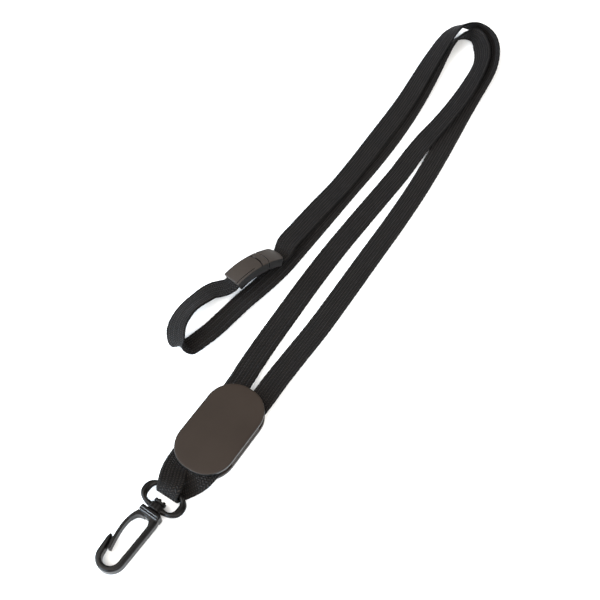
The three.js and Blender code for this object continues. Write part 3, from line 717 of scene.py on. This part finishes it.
# the post's serrated crown stands in the ring's opening
crown_profile = [(POST["radius"] - 0.2, POST["crown_foot"] - 0.1), (POST["crown"] - 0.25, POST["crown_foot"] + 0.02),
                 (POST["crown"], POST["crown_foot"] + 0.3), (POST["crown"], POST["crown_top"] - 0.35),
                 (POST["crown"] - 0.3, POST["crown_top"]), (POST["crown"] - 1.1, POST["crown_top"] - 0.05),
                 (POST["crown"] - 1.5, POST["crown_top"] - 0.5)]
around = 72
crown_points = []
for radius, y in crown_profile:
    for i in range(around):
        angle = 2 * math.pi * i / around
        ripple = math.cos(angle * POST["teeth"])
        tooth = 0.5 + 0.5 * math.copysign(abs(ripple) ** 0.4, ripple)
        high_up = np.clip((y - POST["crown_foot"]) / (POST["crown_top"] - POST["crown_foot"]), 0, 1)
        drop = POST["notch"] * (1 - tooth) * high_up**2
        crown_points.append((radius * math.sin(angle), y - drop, radius * math.cos(angle)))
crown_faces = loop_faces(len(crown_profile), around)
crown = mesh_object("serrated_crown", crown_points, crown_faces, HOOK_BLACK, SWIVEL_FRAME, 45)
for piece in (hook, collar_ribs, crown):
    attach(piece, "hook")
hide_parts("hook_body")


def gate_outline():
    line = np.array(GATE_LINE)
    knots = np.concatenate([[0], np.cumsum(np.linalg.norm(np.diff(line, axis=0), axis=1))])
    slopes = np.gradient(line, knots, axis=0)
    middle = []
    for i in range(len(line) - 1):
        span = knots[i + 1] - knots[i]
        for u in np.linspace(0, 1, 6, endpoint=False):
            middle.append((2 * u**3 - 3 * u**2 + 1) * line[i] + (u**3 - 2 * u**2 + u) * span * slopes[i]
                          + (3 * u**2 - 2 * u**3) * line[i + 1] + (u**3 - u**2) * span * slopes[i + 1])
    middle = np.array(middle + [line[-1]])
    along = np.gradient(middle, axis=0)
    along /= np.linalg.norm(along, axis=1)[:, None]
    off = np.stack([along[:, 1], -along[:, 0]], axis=1) * GATE["thick"] / 2
    return [tuple(p) for p in middle - off] + [tuple(p) for p in (middle + off)[::-1]]


def gate_root():
    """The web that carries the leaf into the collar and closes the opening in a round arch."""
    points = [(-4.5, -8.55), (-4.95, -10.3), (-5.45, -12.6), (-4.9, -12.9)]
    points += curve_points((-4.55, -12.2), (-4.1, -10.0), (-1.6, -9.75), 12)
    points += [(-0.9, -9.5), (-1.6, -8.7)]
    return points


leaf = prism("leaf", gate_outline(), -GATE["depth"] / 2, GATE["depth"] / 2, GATE_BLACK, SWIVEL_FRAME)
root_half = GATE["depth"] / 2 + GATE["root_extra"]
root = prism("root", gate_root(), -root_half, root_half, GATE_BLACK, SWIVEL_FRAME)
gate = join("sprung_gate", leaf, root)
moulded(gate, 0.11, 8)
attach(gate, "gate")
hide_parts("hook_gate")


# ---------------------------------------------------------------- the clasp
def arc_point(across, degrees, radius):
    angle = math.radians(degrees)
    return (across, radius * math.sin(angle), radius * math.cos(angle) - ARC["strap"])


def bulge_degrees(across, front, radius):
    """Where the upright cylinder that bounds a clasp half meets the top of the arch."""
    y = front - SOCKET["bulge"] + math.sqrt(radius**2 - across**2)
    return math.degrees(math.asin(y / ARC["top"]))


def clasp_block(name, first_edge, last_edge, grooves):
    """A length of the arched shell. Its ends follow first_edge(across) and last_edge(across), in degrees."""
    half = CLASP["width"] / 2
    rounding = ROUNDING["long"]
    middle_r = (ARC["top"] + ARC["bottom"]) / 2
    half_r = (ARC["top"] - ARC["bottom"]) / 2
    section = []
    for wall, count in (("top", 84), ("right", 26), ("bottom", 40), ("left", 26)):
        for i in range(count):
            t = 2 * i / count - 1
            section.append({"top": (t * half, half_r), "right": (half, -t * half_r),
                            "bottom": (-t * half, -half_r), "left": (-half, t * half_r)}[wall])
    rounded = []
    for x, r in section:
        cx = np.clip(x, -half + rounding, half - rounding)
        cr = np.clip(r, -half_r + rounding, half_r - rounding)
        gap = math.hypot(x - cx, r - cr)
        if gap > rounding:
            x, r = cx + (x - cx) * rounding / gap, cr + (r - cr) * rounding / gap
        rounded.append((x, r))
    ends = []
    for i in range(5):
        angle = math.radians(90 * i / 4)
        ends.append((ROUNDING["end"] * (1 - math.sin(angle)), ROUNDING["end"] * (1 - math.cos(angle))))
    stations = [(0.0, inset, step) for inset, step in ends]
    body = np.linspace(0, 1, 150)[1:-1]
    stations += [(t, 0.0, None) for t in body]
    stations += [(1.0, inset, -step) for inset, step in reversed(ends)]
    points = []
    for t, inset, step in stations:
        for x, r in rounded:
            shrink_x = x * (1 - inset / half)
            shrink_r = r * (1 - inset / half_r)
            start, end = first_edge(x), last_edge(x)
            lead = math.degrees(ROUNDING["lead"] / middle_r)
            if step is None:
                degrees = start + lead * 0.46 + (end - start - lead * 0.92) * t
            else:
                degrees = (start if t == 0 else end) + math.degrees(step / middle_r)
            radius = middle_r + shrink_r
            if r > half_r - 0.02:
                y = math.sin(math.radians(degrees)) * ARC["top"]
                for groove in grooves:
                    radius -= groove(x, degrees, y)
            points.append(arc_point(shrink_x, degrees, radius))
    return mesh_object(name, points, loop_faces(len(stations), len(rounded)), CLASP_SATIN, CLASP_FRAME)


def paint_side_and_groove_shade(obj, place, is_side, in_groove):
    """Painted shade: a darker polished black on the faces that is_side accepts, and a dull near-black in the grooves.
    """
    obj.data.materials.append(WALL_SHADE_BLACK)
    obj.data.materials.append(GROOVE_SHADE_BLACK)
    back = place.inverted()
    for face in obj.data.polygons:
        normal = back.to_3x3() @ face.normal
        if is_side(normal):
            face.material_index = 1
        elif in_groove is not None and in_groove(back @ (face.center / MM)):
            face.material_index = 2


def line_groove(distance, width, depth):
    return depth * max(0.0, 1 - (distance / width) ** 2)


def seam_line(x, degrees, y):
    """The fine curved line on the socket where its top skin is divided."""
    line_y = SEAM["at"] - SOCKET["bulge"] + math.sqrt(SOCKET["bulge"] ** 2 - x * x)
    return line_groove(y - line_y, SEAM["half"], SEAM["depth"])


def side_line(x, degrees, y):
    """The fine line near the open side, which fades out towards the middle."""
    if degrees > SIDE_LINE["until"]:
        return 0.0
    fade = min(1.0, (SIDE_LINE["until"] - degrees) / 3.0)
    return line_groove(x - SIDE_LINE["x"], SIDE_LINE["half"], SIDE_LINE["depth"] * fade)


def channel(name, start, end):
    """The slot for the strap, as a tool to cut with."""
    half = SLOT_REACH / 2
    floor_r = ARC["bottom"] - 1
    corners = ((-half, floor_r), (half, floor_r), (half, ARC["roof"]), (-half, ARC["roof"]))
    points = []
    for i in range(13):
        degrees = start + (end - start) * i / 12
        points += [arc_point(x, degrees, radius) for x, radius in corners]
    return mesh_object(name, points, loop_faces(13, 4), CLASP_SATIN, CLASP_FRAME)


def is_clasp_side(normal):
    return abs(normal.x) > 0.72


def is_clasp_side_or_end(normal):
    return abs(normal.x) > 0.72 or normal.y < -0.8


def in_clasp_groove(point):
    degrees = math.degrees(math.atan2(point.y, point.z + ARC["strap"]))
    return seam_line(point.x, degrees, point.y) > 0.1 or side_line(point.x, degrees, point.y) > 0.06


socket = clasp_block("clasp_socket_shell", lambda x: SOCKET["left"],
                     lambda x: bulge_degrees(x, SOCKET["front"], SOCKET["bulge"]), [seam_line, side_line])
paint_side_and_groove_shade(socket, CLASP_FRAME, is_clasp_side, in_clasp_groove)
cut(socket, channel("slot", SOCKET["left"] - 4, SOCKET["channel_end"]))
pocket = box("pocket", (-POCKET["half"], POCKET["from"], POCKET["low"]),
             (POCKET["half"], SOCKET["front"] + 2, POCKET["high"]), CLASP_SATIN, CLASP_FRAME)
cut(socket, pocket)
shade(socket, 38)

plug = clasp_block("clasp_plug_shell", lambda x: bulge_degrees(x, SOCKET["front"], SOCKET["bulge"] + PLUG["gap"]),
                   lambda x: bulge_degrees(x, PLUG["right"], SOCKET["bulge"]), [])
paint_side_and_groove_shade(plug, CLASP_FRAME, is_clasp_side_or_end, None)
cut(plug, channel("slot", PLUG["channel_start"], 30))
shade(plug, 38)

prongs = []
for side in (-1, 1):
    near, far = sorted((side * PRONG["inner"], side * PRONG["outer"]))
    outline = rounded_rect((far - near) / 2, (PRONG["to"] - PRONG["from"]) / 2, 0.6, 5)
    outline = [(x + (far + near) / 2, y + (PRONG["to"] + PRONG["from"]) / 2) for x, y in outline]
    prongs.append(prism("prong", outline, PRONG["low"], PRONG["high"], CLASP_SATIN, CLASP_FRAME))
prong_pair = join("clasp_prongs", *prongs)
bevel = prong_pair.modifiers.new("bevel", "BEVEL")
bevel.width = 0.00018
bevel.segments = 3
bevel.limit_method = "ANGLE"
apply_modifiers(prong_pair)
shade(prong_pair, 40)

for piece, body in ((socket, "clasp_half"), (plug, "neck"), (prong_pair, "neck")):
    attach(piece, body)
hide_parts("clasp_socket")
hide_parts("clasp_plug")
for name in ("clasp_socket_lid", "clasp_plug_lid"):
    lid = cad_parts[name]
    lid.material_slots[0].material = CLASP_SATIN


# ---------------------------------------------------------------- the room
def floor():
    material, nodes, links, shader = new_material("pale_floor")
    place = nodes.new("ShaderNodeTexCoord").outputs["Object"]
    tone = noise(nodes, links, place, 4.0, 2.0, 0.5)
    pale = ramp(nodes, links, tone, [(0.0, (0.93, 0.93, 0.93)), (1.0, (0.95, 0.95, 0.95))])
    links.new(pale, shader.inputs["Base Color"])
    shader.inputs["Roughness"].default_value = 0.9
    shader.inputs["Specular IOR Level"].default_value = 0.1
    side = 1500.0
    outline = [(-side, -side), (side, -side), (side, side), (-side, side)]
    obj = mesh_object("floor", [(x, y, 0.0) for x, y in outline], [(0, 1, 2, 3)], material)


def soft_light(name, place, aim, size, power, color):
    """A rectangular lamp at place that faces aim. Places and sizes are in metres, power is in watts."""
    light = bpy.data.lights.new(name, "AREA")
    light.shape = "RECTANGLE"
    light.size, light.size_y = size
    light.energy = power
    light.color = color
    obj = bpy.data.objects.new(name, light)
    obj.location = place
    obj.rotation_euler = (Vector(aim) - Vector(place)).to_track_quat("-Z", "Y").to_euler()
    bpy.context.collection.objects.link(obj)


floor()
centre = (-0.015, 0.1, 0.0)
soft_light("key", (-0.2, -0.97, 0.3), (-0.01, -0.02, 0.0), (0.7, 0.34), 26.0, (0.66, 0.83, 1.0))
soft_light("key_left", (-0.9, -0.5, 0.26), (-0.03, 0.03, 0.0), (0.6, 0.3), 14.0, (0.7, 0.85, 1.0))
soft_light("main", (-0.5, -0.4, 0.95), centre, (1.1, 1.1), 22.0, (1.0, 0.97, 0.93))
soft_light("front", (0.65, -0.35, 0.85), centre, (1.0, 1.0), 16.0, (1.0, 0.97, 0.93))
soft_light("far", (0.35, 0.98, 0.5), centre, (0.8, 0.4), 5.0, (1.0, 0.985, 0.96))
world = bpy.data.worlds.new("studio")
bpy.context.scene.world = world
world.use_nodes = True
world.node_tree.nodes["Background"].inputs["Color"].default_value = (0.94, 0.97, 1.0, 1.0)
world.node_tree.nodes["Background"].inputs["Strength"].default_value = 0.26
